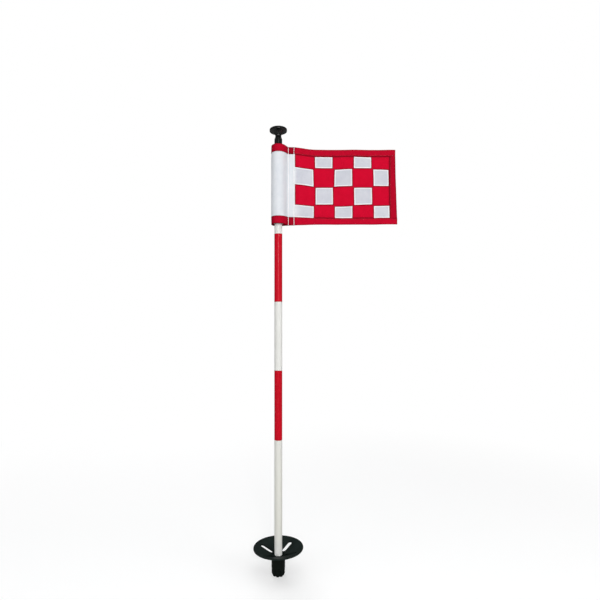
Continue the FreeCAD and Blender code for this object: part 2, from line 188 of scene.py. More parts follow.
def relief(x, z):
    """How far the panel stands off its plan curve at (x, z)."""
    x, z = np.asarray(x, float), np.asarray(z, float)
    free = smooth(24, 60, x)
    from_middle = (z - 798.0) / 78.0
    depth = 0.0
    for height, length_x, length_z, phase, flatten in PANEL_WAVES:
        wave = height * ripple(x / length_x + z / length_z, phase)
        depth = depth + wave * free * (1 - flatten * from_middle ** 2)
    # cloth gathered a little by each hem seam
    uneven_x = x + 3.0 * np.sin(x / 13.0) + 2.0 * np.sin(x / 7.3 + 1.0)
    for line, phase, inward in ((hem_top(x), 0.0, -1), (hem_bottom(x), 2.2, 1)):
        off = (z - line) * inward
        fade = decay(off, 9.0) * decay(-off, 7.0)
        depth += 0.30 * ripple(uneven_x / 13.5, phase) * fade * smooth(30, 50, x)
    uneven_z = z + 2.5 * np.sin(z / 11.0)
    depth += 0.26 * ripple(uneven_z / 12.5) * decay(np.abs(x - FLY_HEM_X), 8.0)
    # short drag lines leaving the hoist stitching
    depth += 0.35 * ripple(uneven_z / 17.0, 0.8) * decay(x - 34.0, 16.0) * smooth(27, 36, x)
    return depth


def on_panel(x, z, offset):
    """Point on the panel, offset from its middle surface: negative toward the front (-Y)."""
    x, z, offset = np.broadcast_arrays(*(np.asarray(v, float) for v in (x, z, offset)))
    return np.stack([x, plan_y(x) + relief(x, z) + offset, z], -1)


# ------------------------------------------------------------------ mesh helpers
def make_object(name, material, verts, faces, uvs, tint=None):
    """Smooth object from millimetre vertices, with one UV and maybe one value per vertex for deeper
    tones and painted shade.
    """
    mesh = bpy.data.meshes.new(name)
    mesh.from_pydata((np.asarray(verts, float) * MM).tolist(), [], faces)
    mesh.update()
    if tint is not None:
        values = np.asarray(tint, np.float32).ravel()
        mesh.attributes.new("tint", "FLOAT", "POINT").data.foreach_set("value", values)
    work = bmesh.new()
    work.from_mesh(mesh)
    layer = work.loops.layers.uv.new("UVMap")
    uvs = np.asarray(uvs, float) * MM
    for face in work.faces:
        for loop in face.loops:
            loop[layer].uv = uvs[loop.vert.index]
    bmesh.ops.recalc_face_normals(work, faces=work.faces)
    work.to_mesh(mesh)
    work.free()
    mesh.polygons.foreach_set("use_smooth", [True] * len(mesh.polygons))
    made = bpy.data.objects.new(name, mesh)
    scene.collection.objects.link(made)
    mesh.materials.append(material)
    return made


class Pieces:
    """Several closed pieces collected into one mesh."""

    def __init__(self):
        self.verts, self.faces, self.uvs, self.tints, self.count = [], [], [], [], 0

    def add(self, verts, faces, uvs=None, tint=None):
        size = len(verts)
        self.verts.append(np.asarray(verts, float))
        self.faces += [tuple(i + self.count for i in face) for face in faces]
        self.uvs.append(np.zeros((size, 2)) if uvs is None else uvs)
        self.tints.append(np.zeros(size) if tint is None else tint)
        self.count += size

    def build(self, name, material):
        return make_object(name, material, np.concatenate(self.verts), self.faces,
                           np.concatenate(self.uvs), np.concatenate(self.tints))


def shell(front, back, uv, tint):
    """Closed shell between two point grids of one layout: verts, faces, uvs, tints."""
    rows, columns = front.shape[:2]
    half = rows * columns

    def vert(i, j, side):
        return side * half + i * columns + j

    faces = []
    for i in range(rows - 1):
        for j in range(columns - 1):
            corners = ((i, j), (i + 1, j), (i + 1, j + 1), (i, j + 1))
            faces.append(tuple(vert(*c, 0) for c in corners))
            faces.append(tuple(vert(*corners[k], 1) for k in (0, 3, 2, 1)))
    for i in range(rows - 1):
        for j in (0, columns - 1):
            faces.append((vert(i, j, 0), vert(i, j, 1), vert(i + 1, j, 1), vert(i + 1, j, 0)))
    for j in range(columns - 1):
        for i in (0, rows - 1):
            faces.append((vert(i, j, 0), vert(i, j + 1, 0), vert(i, j + 1, 1), vert(i, j, 1)))
    verts = np.concatenate([front.reshape(-1, 3), back.reshape(-1, 3)])
    return verts, faces, np.concatenate([uv.reshape(-1, 2)] * 2), np.tile(tint.ravel(), 2)


def tube_faces(rings, seg):
    """Quads between successive rings of seg vertices."""
    faces = []
    for i in range(rings - 1):
        for s in range(seg):
            t = (s + 1) % seg
            low, high = i * seg, (i + 1) * seg
            faces.append((low + s, low + t, high + t, high + s))
    return faces


def lathe(name, material, outline, seg):
    """Closed solid of revolution from an (r, z) outline; points on the axis are shared."""
    verts, faces, uvs, rings = [], [], [], []
    for (radius, z), run in zip(outline, run_along(outline)):
        count = 1 if radius < 1e-6 else seg
        rings.append(range(len(verts), len(verts) + count))
        for s in range(count):
            angle = TURN * s / seg
            verts.append((radius * math.cos(angle), radius * math.sin(angle), z))
            uvs.append((radius * angle, run))
    for low, high in zip(rings, rings[1:] + rings[:1]):
        if len(low) == 1 and len(high) == 1:
            continue
        for s in range(seg):
            t = (s + 1) % seg
            if len(low) == 1:
                faces.append((low[0], high[t], high[s]))
            elif len(high) == 1:
                faces.append((low[s], low[t], high[0]))
            else:
                faces.append((low[s], low[t], high[t], high[s]))
    return make_object(name, material, verts, faces, uvs)


def chaikin(points):
    """Two rounds of corner cutting on an open polyline."""
    points = [np.array(p, float) for p in points]
    for _ in range(2):
        cut = [points[0]]
        for start, end in zip(points, points[1:]):
            cut += [0.75 * start + 0.25 * end, 0.25 * start + 0.75 * end]
        points = cut + [points[-1]]
    return [tuple(p) for p in points]


# ------------------------------------------------------------------ shader helpers
def srgb(*channels):
    """Linear colour from 0-255 sRGB channels."""
    def linear(channel):
        channel /= 255.0
        return channel / 12.92 if channel <= 0.04045 else ((channel + 0.055) / 1.055) ** 2.4
    return (*map(linear, channels), 1.0)


class Graph:
    """Wires the node tree of a material or world."""

    def __init__(self, owner):
        owner.use_nodes = True
        self.tree = owner.node_tree
        self.tree.nodes.clear()

    def plug(self, socket, value):
        if isinstance(value, bpy.types.NodeSocket):
            self.tree.links.new(value, socket)
        elif value is not None:
            socket.default_value = value

    def add(self, kind, inputs=None, **settings):
        """New node; inputs go by socket name or index, settings are node properties."""
        node = self.tree.nodes.new("ShaderNode" + kind)
        for key, value in settings.items():
            setattr(node, key, value)
        for key, value in (inputs or {}).items():
            self.plug(node.inputs[key], value)
        return node

    def coord(self, which="Object"):
        return self.add("TexCoord").outputs[which]

    def xyz(self, vector):
        return self.add("SeparateXYZ", {0: vector}).outputs[:3]

    def math(self, operation, *values):
        return self.add("Math", dict(enumerate(values)), operation=operation).outputs[0]

    def times(self, first, second):
        return self.math("MULTIPLY", first, second)

    def plus(self, first, second):
        return self.math("ADD", first, second)

    def stretch(self, vector, by):
        return self.add("VectorMath", {0: vector, 1: by}, operation="MULTIPLY").outputs[0]

    def noise(self, vector, scale, detail=3.0, rough=0.5, distortion=0.0):
        return self.add("TexNoise", {"Vector": vector, "Scale": scale, "Detail": detail,
                                     "Roughness": rough, "Distortion": distortion}).outputs["Fac"]

    def streaks(self, vector, per_metre):
        """Noise drawn out along the axes with the smaller counts."""
        return self.noise(self.stretch(vector, per_metre), scale=1.0, detail=2.0)

    def ramp(self, value, over, to=(0.0, 1.0), **settings):
        """The range over mapped to the range to, clamped."""
        inputs = {"Value": value, "From Min": over[0], "From Max": over[1],
                  "To Min": to[0], "To Max": to[1]}
        return self.add("MapRange", inputs, **settings).outputs["Result"]

    def mix(self, start, end, by):
        """Colour mix; 0, 6 and 7 are the factor and the two colour sockets."""
        return self.add("Mix", {0: by, 6: start, 7: end}, data_type="RGBA").outputs[2]

    def mottle(self, field, start, end):
        return self.mix(start, end, by=self.ramp(field, over=(0.3, 0.7)))

    def bump(self, height, strength, depth_mm, normal=None):
        return self.add("Bump", {"Strength": strength, "Distance": depth_mm * MM,
                                 "Height": height, "Normal": normal}).outputs[0]

    def bevel(self, radius_mm):
        return self.add("Bevel", {"Radius": radius_mm * MM}, samples=4).outputs[0]

    def shader(self, kind, colour, strength=None):
        inputs = {0: (*colour, 1)}
        if strength is not None:
            inputs[1] = strength
        return self.add(kind, inputs).outputs[0]

    def mix_shader(self, start, end, by):
        return self.add("MixShader", {0: by, 1: start, 2: end}).outputs[0]


class Surface(Graph):
    """One Principled material."""

    def __init__(self, name):
        self.material = bpy.data.materials.new(name)
        super().__init__(self.material)
        output = self.add("OutputMaterial")
        self.bsdf = self.add("BsdfPrincipled")
        self.plug(output.inputs[0], self.bsdf.outputs[0])

    def set(self, **values):
        for key, value in values.items():
            self.plug(self.bsdf.inputs[key.replace("_", " ")], value)


# ------------------------------------------------------------------ materials
def black_plastic(name, light, dark, wear, rough, bevel, shine, dull_and_shade_z=None):
    """Grained moulding with dust and fine marks; the last argument is the height range (m) below
    which the shine drops and painted shade darkens the colour.
    """
    mat = Surface(name)
    coords = mat.coord()
    grain = mat.add("TexVoronoi", {"Vector": coords, "Scale": 1700.0}).outputs["Distance"]
    fine_grain = mat.noise(coords, scale=2600.0, detail=2.0, rough=0.6)
    flow = mat.noise(mat.stretch(coords, (1.0, 1.0, 0.35)),
                     scale=46.0, detail=4.0, rough=0.55, distortion=0.6)
    dust = mat.noise(coords, scale=420.0, detail=5.0, rough=0.7)
    base = mat.mottle(flow, dark, light)
    base = mat.mix(base, srgb(72, 76, 72), by=mat.ramp(dust, over=(0.60, 0.82), to=(0, 0.35 * wear)))
    # fine marks run every way over the moulding
    along_x = mat.streaks(coords, per_metre=(40.0, 900.0, 260.0))
    along_y = mat.streaks(coords, per_metre=(820.0, 60.0, 330.0))
    marks = mat.math("MAXIMUM", mat.ramp(along_x, over=(0.68, 0.74)),
                     mat.ramp(along_y, over=(0.69, 0.75)))
    base = mat.mix(base, srgb(78, 82, 79), by=mat.times(marks, 0.25 * wear))
    flow_rough = mat.ramp(flow, over=(0.2, 0.8), to=(rough - 0.07, rough + 0.09))
    mat.set(Base_Color=base, Roughness=mat.plus(flow_rough, mat.times(marks, 0.12)),
            Specular_IOR_Level=shine)
    if dull_and_shade_z:
        # low in the dish the shine drops, and painted shade darkens the colour round the foot of the
        # pole
        z = mat.xyz(coords)[2]
        mat.set(Specular_IOR_Level=mat.ramp(z, over=dull_and_shade_z, to=(0.02, shine)),
                Base_Color=mat.mix(base, srgb(7, 10, 9), by=mat.ramp(z, over=dull_and_shade_z, to=(0.6, 0.0))))
    height = mat.plus(mat.times(grain, 0.7), mat.times(fine_grain, 0.5))
    normal = mat.bump(height, strength=0.30, depth_mm=0.06, normal=mat.bevel(bevel))
    mat.set(Normal=mat.bump(flow, strength=0.10, depth_mm=0.25, normal=normal))
    return mat.material


def pole_coat(name):
    mat = Surface(name)
    coords = mat.coord()
    z = mat.xyz(coords)[2]
    cloud = mat.noise(mat.stretch(coords, (1.0, 1.0, 0.12)), scale=60.0, rough=0.55)
    speck = mat.noise(coords, scale=900.0, rough=0.75)
    base = mat.mottle(cloud, srgb(228, 228, 224), srgb(221, 221, 217))
    # darker, yellower mottled tone low down on the tube
    low = mat.times(mat.ramp(z, over=(0.18, 0.32), to=(1.0, 0.0)), mat.ramp(z, over=(0.06, 0.10)))
    stain = mat.times(low, mat.ramp(cloud, over=(0.25, 0.75), to=(0.45, 0.80)))
    base = mat.mix(base, srgb(218, 217, 206), by=stain)
    # painted light: the tube just above the dish is whitened to lift the shade the dish throws on it
    base = mat.mix(base, srgb(246, 246, 243), by=mat.ramp(z, over=(0.050, 0.062), to=(0.9, 0.0)))
    specks = mat.times(mat.ramp(speck, over=(0.66, 0.74)), 0.22)
    base = mat.mix(base, srgb(150, 147, 138), by=specks)
    peel = mat.noise(coords, scale=520.0, detail=2.0)
    scratches = mat.streaks(coords, per_metre=(700.0, 700.0, 22.0))
    marks = mat.ramp(scratches, over=(0.70, 0.76))
    base = mat.mix(base, srgb(170, 168, 162), by=mat.times(marks, 0.16))
    cloud_rough = mat.ramp(cloud, over=(0.2, 0.8), to=(0.30, 0.40))
    mat.set(Base_Color=base, Roughness=mat.plus(cloud_rough, mat.times(marks, 0.2)),
            Specular_IOR_Level=0.25, Coat_Weight=0.05, Coat_Roughness=0.2)
    scored = mat.bump(marks, strength=0.15, depth_mm=0.02)
    mat.set(Normal=mat.bump(peel, strength=0.10, depth_mm=0.05, normal=scored))
    return mat.material


def band_film(name, bottom, top):
    """Red film round the pole between two heights (m)."""
    rubbed = 0.0016         # length of each rubbed end
    lap_x = 0.0008
    lap_half = 0.00022
    mat = Surface(name)
    coords = mat.coord()
    x, y, z = mat.xyz(coords)
    cloud = mat.noise(mat.stretch(coords, (1.0, 1.0, 0.2)), scale=70.0, rough=0.55)
    base = mat.mottle(cloud, srgb(199, 5, 34), srgb(187, 3, 27))
    # the film's ends are rubbed and its lap shows at the back
    ends = mat.math("MAXIMUM", mat.ramp(z, over=(bottom, bottom + rubbed), to=(1.0, 0.0)),
                    mat.ramp(z, over=(top - rubbed, top)))
    base = mat.mix(base, srgb(132, 8, 24), by=mat.times(ends, 0.45))
    from_lap = mat.math("ABSOLUTE", mat.math("SUBTRACT", x, lap_x))
    lap = mat.times(mat.ramp(from_lap, over=(0.0, lap_half), to=(1.0, 0.0)),
                    mat.ramp(y, over=(0.006, 0.0065)))
    base = mat.mix(base, srgb(120, 6, 20), by=mat.times(lap, 0.6))
    scratches = mat.streaks(coords, per_metre=(620.0, 620.0, 26.0))
    marks = mat.ramp(scratches, over=(0.69, 0.75))
    base = mat.mix(base, srgb(226, 96, 106), by=mat.times(marks, 0.22))
    waves = mat.noise(mat.stretch(coords, (1.0, 1.0, 0.5)), scale=260.0, detail=2.0)
    mat.set(Base_Color=base, Roughness=mat.ramp(cloud, over=(0.2, 0.8), to=(0.26, 0.34)),
            Specular_IOR_Level=0.12, Coat_Weight=0.04, Coat_Roughness=0.12)
    sunk = mat.math("SUBTRACT", 0.0, mat.plus(lap, ends))
    edges = mat.bump(sunk, strength=0.3, depth_mm=0.1)
    mat.set(Normal=mat.bump(waves, strength=0.14, depth_mm=0.05, normal=edges))
    return mat.material


def nylon(name, light, dark, gap_shade, tone_and_shade_colour, sheen, shine):
    """Plain-woven flag nylon: threads over and under each other, soft creases, sheen.

    The colour given for the gaps is painted shade between the threads; the last colour is the one
    where the vertex attribute is 1, which brings deeper tones and painted shade on the red cloth and
    sleeve, and lighter folds on the squares.
    """
    threads = math.pi / (0.42 * MM)      # half a sine wave per 0.42 mm thread
    mat = Surface(name)
    across, up, _ = mat.xyz(mat.coord("UV"))
    jitter = mat.noise(mat.coord("UV"), scale=900.0, detail=2.0)
    across, up = [mat.math("SINE", mat.plus(mat.times(way, threads), mat.times(jitter, 0.5)))
                  for way in (across, up)]
    over = mat.times(across, up)
    warp = mat.times(mat.math("ABSOLUTE", across), mat.math("MULTIPLY_ADD", over, 0.4, 0.6))
    weft = mat.times(mat.math("ABSOLUTE", up), mat.math("MULTIPLY_ADD", over, -0.4, 0.6))
    height = mat.math("MAXIMUM", warp, weft)
    slubs = [mat.streaks(mat.coord("UV"), per_metre=counts)
             for counts in ((60.0, 2400.0, 1.0), (2400.0, 60.0, 1.0))]
    soft = mat.noise(mat.coord("UV"), scale=34.0, detail=4.0, rough=0.55, distortion=0.4)
    crease = mat.noise(mat.stretch(mat.coord("UV"), (30.0, 12.0, 1.0)),
                       scale=1.0, rough=0.6, distortion=1.2)
    cloud = mat.noise(mat.coord("UV"), scale=110.0, rough=0.6, distortion=0.8)
    patches = mat.plus(mat.ramp(soft, over=(0.3, 0.7)), mat.ramp(cloud, over=(0.3, 0.7)))
    base = mat.mix(light, dark, by=mat.times(patches, 0.5))
    base = mat.mix(base, dark, by=mat.ramp(mat.plus(*slubs), over=(0.8, 1.2), to=(0.0, 0.16)))
    # painted shade in the low gaps between the threads
    base = mat.mix(base, gap_shade, by=mat.ramp(height, over=(0.15, 0.6), to=(0.30, 0.0)))
    # deeper tones, lighter folds and painted shade along seams, hems and rims come in by this
    # attribute
    tint = mat.add("Attribute", attribute_name="tint").outputs["Fac"]
    base = mat.mix(base, tone_and_shade_colour, by=tint)
    mat.set(Base_Color=base, Roughness=mat.ramp(height, over=(0.1, 0.8), to=(0.86, 0.62)),
            Specular_IOR_Level=shine, Sheen_Weight=sheen, Sheen_Roughness=0.45, Sheen_Tint=light)
    normal = mat.bump(crease, strength=0.35, depth_mm=0.9,
                      normal=mat.bump(soft, strength=0.2, depth_mm=0.5))
    mat.set(Normal=mat.bump(height, strength=0.55, depth_mm=0.09, normal=normal))
    return mat.material


def thread(name, light, dark):
    mat = Surface(name)
    twist = mat.noise(mat.coord(), scale=3800.0, detail=2.0)
    mat.set(Base_Color=mat.mix(light, dark, by=mat.ramp(twist, over=(0.35, 0.65))),
            Roughness=0.6, Sheen_Weight=0.3)
    mat.set(Normal=mat.bump(twist, strength=0.5, depth_mm=0.05))
    return mat.material


def metal(name, light, dark, rough):
    """Turned metal: rings along z and faint stains."""
    mat = Surface(name)
    coords = mat.coord()
    z = mat.xyz(coords)[2]
    turned = mat.add("CombineXYZ", {2: mat.times(z, 5400.0)}).outputs[0]
    rings = mat.noise(turned, scale=1.0, detail=2.0, rough=0.6)
    stain = mat.noise(coords, scale=160.0, detail=4.0, rough=0.6)
    mat.set(Base_Color=mat.mottle(stain, light, dark), Metallic=0.75)
    mat.set(Roughness=mat.plus(mat.ramp(rings, over=(0.3, 0.7), to=(rough - 0.08, rough + 0.1)),
                               mat.ramp(stain, over=(0.5, 0.8), to=(0.0, 0.12))))
    mat.set(Normal=mat.bump(rings, strength=0.2, depth_mm=0.02, normal=mat.bevel(0.15)))
    return mat.material


def moulded(name, light, dark, rough):
    mat = Surface(name)
    coords = mat.coord()
    flow = mat.noise(coords, scale=90.0, rough=0.55)
    fine = mat.noise(coords, scale=1900.0, detail=2.0, rough=0.6)
    mat.set(Base_Color=mat.mottle(flow, light, dark),
            Roughness=mat.ramp(flow, over=(0.2, 0.8), to=(rough - 0.06, rough + 0.08)),
            Specular_IOR_Level=0.45,
            Normal=mat.bump(fine, strength=0.2, depth_mm=0.03, normal=mat.bevel(0.2)))
    return mat.material


# the lift disc gets painted shade low in its dish
BLACK = black_plastic("black_moulding", light=srgb(28, 37, 35), dark=srgb(20, 28, 26), wear=0.6,
                      rough=0.60, bevel=0.35, shine=0.10, dull_and_shade_z=(0.0420, 0.0455))
FERRULE = black_plastic("black_ferrule", light=srgb(13, 20, 16), dark=srgb(7, 12, 9), wear=0.35,
                        rough=0.50, bevel=0.3, shine=0.16)
KNOB = black_plastic("black_knob", light=srgb(17, 19, 18), dark=srgb(11, 13, 12), wear=0.3,
                     rough=0.22, bevel=0.2, shine=0.55)
POLE = pole_coat("pole_coat_white")
RED = nylon("nylon_red", light=srgb(206, 3, 46), dark=srgb(195, 1, 40), gap_shade=srgb(168, 2, 26),
            tone_and_shade_colour=srgb(112, 1, 20), sheen=0.02, shine=0.06)
WHITE = nylon("nylon_white", light=srgb(225, 227, 231), dark=srgb(212, 217, 223),
              gap_shade=srgb(202, 207, 214), tone_and_shade_colour=srgb(176, 182, 190), sheen=0.12, shine=0.2)
WHITE_SINGLE = nylon("nylon_white_single", light=srgb(206, 207, 214), dark=srgb(190, 192, 202),
                     gap_shade=srgb(190, 195, 204), tone_and_shade_colour=srgb(240, 240, 241), sheen=0.12, shine=0.2)
THREAD_WHITE = thread("thread_white", light=srgb(252, 249, 249), dark=srgb(240, 234, 235))
THREAD_RED = thread("thread_red", light=srgb(176, 10, 34), dark=srgb(140, 6, 24))
STEEL = metal("zinc_steel", light=srgb(190, 192, 196), dark=srgb(168, 170, 172), rough=0.30)
ALUMINIUM = metal("turned_aluminium", light=srgb(215, 216, 219), dark=srgb(196, 198, 202),
                  rough=0.32)
BRASS = metal("turned_brass", light=srgb(206, 172, 98), dark=srgb(182, 146, 78), rough=0.30)
WASHER = moulded("washer_natural", light=srgb(226, 225, 218), dark=srgb(212, 210, 202), rough=0.45)
TUBE = moulded("tube_white", light=srgb(222, 224, 226), dark=srgb(208, 211, 214), rough=0.5)
# the plug's near-pure white is partly its own colour, partly painted light lifting the dish's shade
END_PLUG = moulded("end_plug_white", light=srgb(252, 252, 250), dark=srgb(246, 247, 245), rough=0.3)


def give(node, material):
    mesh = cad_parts[node].data
    mesh.materials.clear()
    mesh.materials.append(material)
    for polygon in mesh.polygons:
        polygon.material_index = 0


for material, nodes in (
    (FERRULE, ("ferrule", "ferrule_plug")),
    (BLACK, ("lift_disc",)),
    (STEEL, ("ferrule_screw", "ferrule_washer")),
    (BRASS, ("plug_insert",)),
    (END_PLUG, ("pole_end_plug",)),
    (POLE, ("lower_pole", "middle_pole", "upper_pole")),
    (ALUMINIUM, ("lower_joint_socket", "upper_joint_socket", "pole_top_insert")),
    (WASHER, ("lower_joint_washer", "upper_joint_washer", "knob_washer", "tube_bush")),
    (TUBE, ("flag_tube", "tube_cap")),
):
    for node in nodes:
        give(node, material)
for node in ("red_band_lower", "red_band_upper"):
    band_low, band_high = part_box(node)
    give(node, band_film("film_" + node, band_low.z, band_high.z))

# ------------------------------------------------------------------ knob
KNOB_BORE_RADIUS = 5.02
KNOB_BORE_END = 891.2
# Outside of the knob above its foot, (radius, z).
KNOB_SIDE = [
    (8.0, 892.4), (7.9, 893.4), (7.5, 894.7), (6.9, 896.2), (6.42, 897.7), (6.15, 899.2),
    (6.15, 900.3), (6.45, 901.9), (7.2, 903.6), (8.4, 905.1), (9.9, 906.4), (11.8, 907.5),
    (13.9, 908.4), (15.9, 909.0), (17.2, 909.35), (17.8, 909.8), (17.9, 910.5), (17.9, 912.6),
    (17.85, 913.4), (17.5, 913.9), (16.8, 914.1), (15.2, 914.15), (14.6, 913.95), (14.0, 913.9),
    (13.4, 914.15), (9.0, 914.3), (3.0, 914.4), (1.6, 914.35),
]


def knob_head():
    bottom, top = [corner[2] for corner in box_mm("top_knob")]
    foot = [(7.5, bottom), (8.0, bottom + 0.5), (8.0, bottom + 6)]
    outline = [(KNOB_BORE_RADIUS, bottom)] + chaikin(foot + KNOB_SIDE)
    outline += [(0.0, top - 0.25), (0.0, KNOB_BORE_END), (KNOB_BORE_RADIUS, KNOB_BORE_END)]
    knob = lathe("knob_head", KNOB, outline, seg=160)
    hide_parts("top_knob")
    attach(knob, "knob")


# ------------------------------------------------------------------ lift disc
DISH_HUB_RADIUS, DISH_RADIUS = 0.0136, 0.05125       # m
DISH_WARP = 0.0017      # m, rise of the rim at +X and drop at -X


def lift_disc():
    """The disc, its thin dish warped a little out of true. The copy keeps its black material."""
    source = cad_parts["lift_disc"]
    mesh = source.data.copy()
    mesh.name = "lift_disc_moulding"
    mesh.transform(source.matrix_world)
    points = np.zeros(len(mesh.vertices) * 3)
    mesh.vertices.foreach_get("co", points)
    points = points.reshape(-1, 3)
    radius = np.hypot(points[:, 0], points[:, 1])
    reach = np.clip((radius - DISH_HUB_RADIUS) / (DISH_RADIUS - DISH_HUB_RADIUS), 0, 1)
    points[:, 2] += reach * DISH_WARP * points[:, 0] / DISH_RADIUS
    mesh.vertices.foreach_set("co", points.ravel())
    dish = bpy.data.objects.new("lift_disc_moulding", mesh)
    scene.collection.objects.link(dish)
    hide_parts("lift_disc")
    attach(dish, "lower_section")


# ------------------------------------------------------------------ threaded studs
STUD_SEG = 64


def threaded(name, node, body, major_radius, pitch, shoulder_z, upper):
    """Right-hand screw thread below shoulder_z, and the (r, z) outline upper above it."""
    bottom = box_mm(node)[0][2]
    depth = 0.55 * pitch

    def thread_radius(z, share):
        phase = (z / pitch - share) % 1.0
        tooth = min(1.0, max(0.0, 1.25 - abs(phase - 0.5) * 2 * 1.45))
        # the thread runs out at both ends
        run = min(1.0, (z - bottom) / pitch) * min(1.0, (shoulder_z - z) / (0.5 * pitch))
        chamfer = 0.45 * max(0.0, 1 - (z - bottom) / 0.8)
        return major_radius - depth + depth * tooth * max(0.0, run) - chamfer

    rings = []      # z and the radius at each vertex
    z = bottom
    while z < shoulder_z - 0.02:
        rings.append((z, [thread_radius(z, s / STUD_SEG) for s in range(STUD_SEG)]))
        z += pitch / 10
    rings += [(z, [radius] * STUD_SEG) for radius, z in upper]
    verts, uvs = [], []
    for z, radii in rings:
        for s, radius in enumerate(radii):
            angle = TURN * s / STUD_SEG
            verts.append((radius * math.cos(angle), radius * math.sin(angle), z))
            uvs.append((radius * angle, z))
    faces = tube_faces(len(rings), STUD_SEG)
    last = (len(rings) - 1) * STUD_SEG
    verts += [(0, 0, bottom), (0, 0, upper[-1][1])]
    uvs += [(0, 0), (0, 0)]
    for s in range(STUD_SEG):
        t = (s + 1) % STUD_SEG
        faces.append((len(verts) - 2, t, s))
        faces.append((len(verts) - 1, last + s, last + t))
    stud = make_object(name, STEEL, verts, faces, uvs)
    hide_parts(node)
    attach(stud, body)


def joint_stud(side, body):
    node = side + "_joint_stud"
    top = box_mm(node)[1][2]
    face = box_mm(side + "_joint_washer")[1][2]
    upper = [(4.4, face), (6.78, face), (6.78, top - 0.4), (6.38, top)]
    threaded(side + "_stud_threaded", node, body, major_radius=4.95, pitch=1.5,
             shoulder_z=face, upper=upper)


def knob_stud():
    top = box_mm("knob_stud")[1][2]
    face = box_mm("pole_top_insert")[1][2]
    upper = [(3.5, face), (4.9, face), (5.0, face + 0.1), (5.0, top - 0.5), (4.5, top)]
    threaded("knob_stud_threaded", "knob_stud", "knob", major_radius=3.95, pitch=1.25,
             shoulder_z=face, upper=upper)


# ------------------------------------------------------------------ cloth: ground
cloth = []


def keep(piece, slot, *nodes):
    """Lists a cloth piece and hides the frame nodes it replaces; slot is not used."""
    cloth.append(piece)
    if nodes:
        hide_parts(*nodes)


def to_square(x, z):
    """Distance from (x, z) to the nearest square's outline, leaving out sides on the strip."""
    best = np.full(np.shape(x), 99.0)
    for corners in SQUARES:
        for (start_x, start_z), (end_x, end_z) in zip(corners, corners[1:] + corners[:1]):
            if start_x == end_x == STRIP_X:
                continue
            run, rise = end_x - start_x, end_z - start_z
            share = ((x - start_x) * run + (z - start_z) * rise) / (run * run + rise * rise)
            share = np.clip(share, 0, 1)
            gap = np.hypot(x - start_x - share * run, z - start_z - share * rise)
            best = np.minimum(best, gap)
    return best


def seam_shade(x, z):
    """Shade where the squares, hems and strip stand over the ground."""
    gap = np.minimum(np.abs(hem_top(x) - z), np.abs(z - hem_bottom(x)))
    gap = np.minimum(to_square(x, z), gap)
    upright = np.minimum(np.abs(x - FLY_HEM_X), np.abs(x - STRIP_X))
    gap = np.minimum(gap, np.where((z > 736) & (z < 866), upright, 99.0))
    return 0.92 * bell(gap, 1.7) + 0.10 * decay(gap, 4.0)


def ground_cloth():
    stations = spaced(GROUND_X, FLY_MAX, 0.95)[:, None]
    share = (stations - GROUND_X) / (FLY_MAX - GROUND_X)
    low = bottom_edge(stations) + GROUND_INSET
    high = top_edge(stations) - GROUND_INSET
    z = low + (high - low) * np.linspace(0, 1, 170)
    x = GROUND_X + share * (fly_x(z) - 1.0 - GROUND_X)
    sheet = shell(on_panel(x, z, -GROUND_HALF), on_panel(x, z, GROUND_HALF),
                  pair(x, z), seam_shade(x, z))
    keep(make_object("panel_ground_cloth", RED, *sheet), "nylon_red", "flag_ground")


# ------------------------------------------------------------------ cloth: stitches
STITCH_SEG = 8
STITCH_LENGTH, STITCH_GAP = 2.3, 0.55
# Along one stitch: share of its length, share of its radius, lift in radii.
STITCH_RINGS = ((0.0, 0.35, -0.9), (0.14, 0.85, -0.1), (0.5, 1.0, 0.25),
                (0.86, 0.85, -0.1), (1.0, 0.35, -0.9))


def stitch(pieces, start, end, face, radius):
    """A short rounded thread bedded in one face of the cloth (-1 front, 1 back)."""
    along = end - start
    length = np.linalg.norm(along)
    along /= length
    side = np.cross(along, (0.0, face, 0.0))
    side /= np.linalg.norm(side)
    out = np.cross(side, along)
    verts = []
    for share, size, lift in STITCH_RINGS:
        centre = start + along * (share * length) + out * (lift * radius)
        for s in range(STITCH_SEG):
            angle = TURN * s / STITCH_SEG
            around = 1.25 * math.cos(angle) * side + 0.62 * math.sin(angle) * out
            verts.append(centre + radius * size * around)
    faces = tube_faces(len(STITCH_RINGS), STITCH_SEG)
    faces.append(tuple(reversed(range(STITCH_SEG))))
    faces.append(tuple(range(len(verts) - STITCH_SEG, len(verts))))
    pieces.add(verts, faces)


def stitch_line(pieces, points, face, offset_at, radius):
    """Running stitches along (x, z) points on one face; offset_at(x) is their height there."""
    points = np.array(points, float)
    run = run_along(points)
    begin = 0.3
    while begin + STITCH_LENGTH < run[-1]:
        ends = []
        for distance in (begin, begin + STITCH_LENGTH):
            x, z = (np.interp(distance, run, points[:, k]) for k in (0, 1))
            ends.append(on_panel(x, z, face * offset_at(x)))
        stitch(pieces, *ends, face, radius)
        begin += STITCH_LENGTH + STITCH_GAP


# ------------------------------------------------------------------ cloth: white squares
def edge_spacing(length):
    """Stations across a square, close together at its folded edges."""
    near = np.array([0, 0.12, 0.3, 0.55, 0.9, 1.3, 1.6, 1.9, 2.4, 3.2])
    return np.concatenate([near, spaced(4.2, length - 4.2, 1.8), length - near[::-1]])


